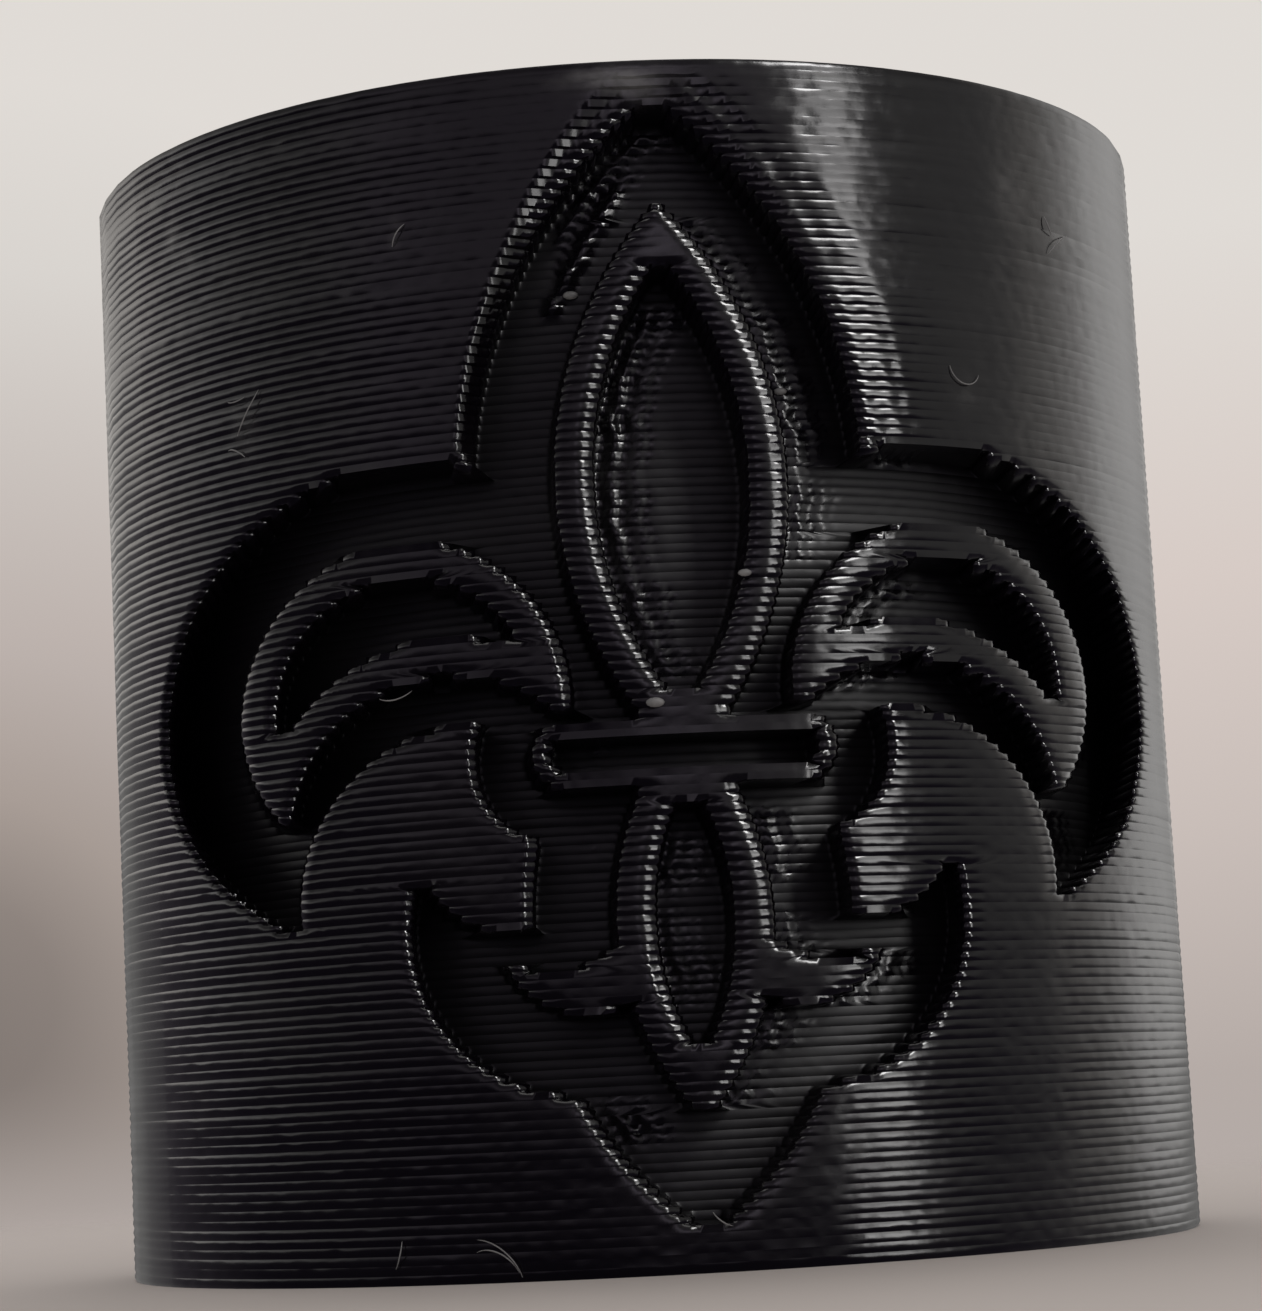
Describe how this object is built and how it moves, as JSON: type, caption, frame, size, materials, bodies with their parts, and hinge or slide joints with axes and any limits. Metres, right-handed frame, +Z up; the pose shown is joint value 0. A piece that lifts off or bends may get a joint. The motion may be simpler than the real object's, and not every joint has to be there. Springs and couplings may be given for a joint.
{
  "type": "neckerchief slide",
  "caption": "Short printed plastic tube that a rolled neckerchief is drawn through, with a sunk-relief heraldic lily on its front.",
  "frame": {"origin": "centre of the rim that the ring stands on", "axes": "+Z up along the bore, the lily faces -Y, +X to the right of someone facing the lily"},
  "size_m": [0.0248, 0.0248, 0.025],
  "materials": {
    "black_print_plastic": "black printed plastic, semi-gloss, with fine level layer lines"
  },
  "bodies": {
    "root": {"slide_ring": "black_print_plastic"}
  },
  "joints": []
}
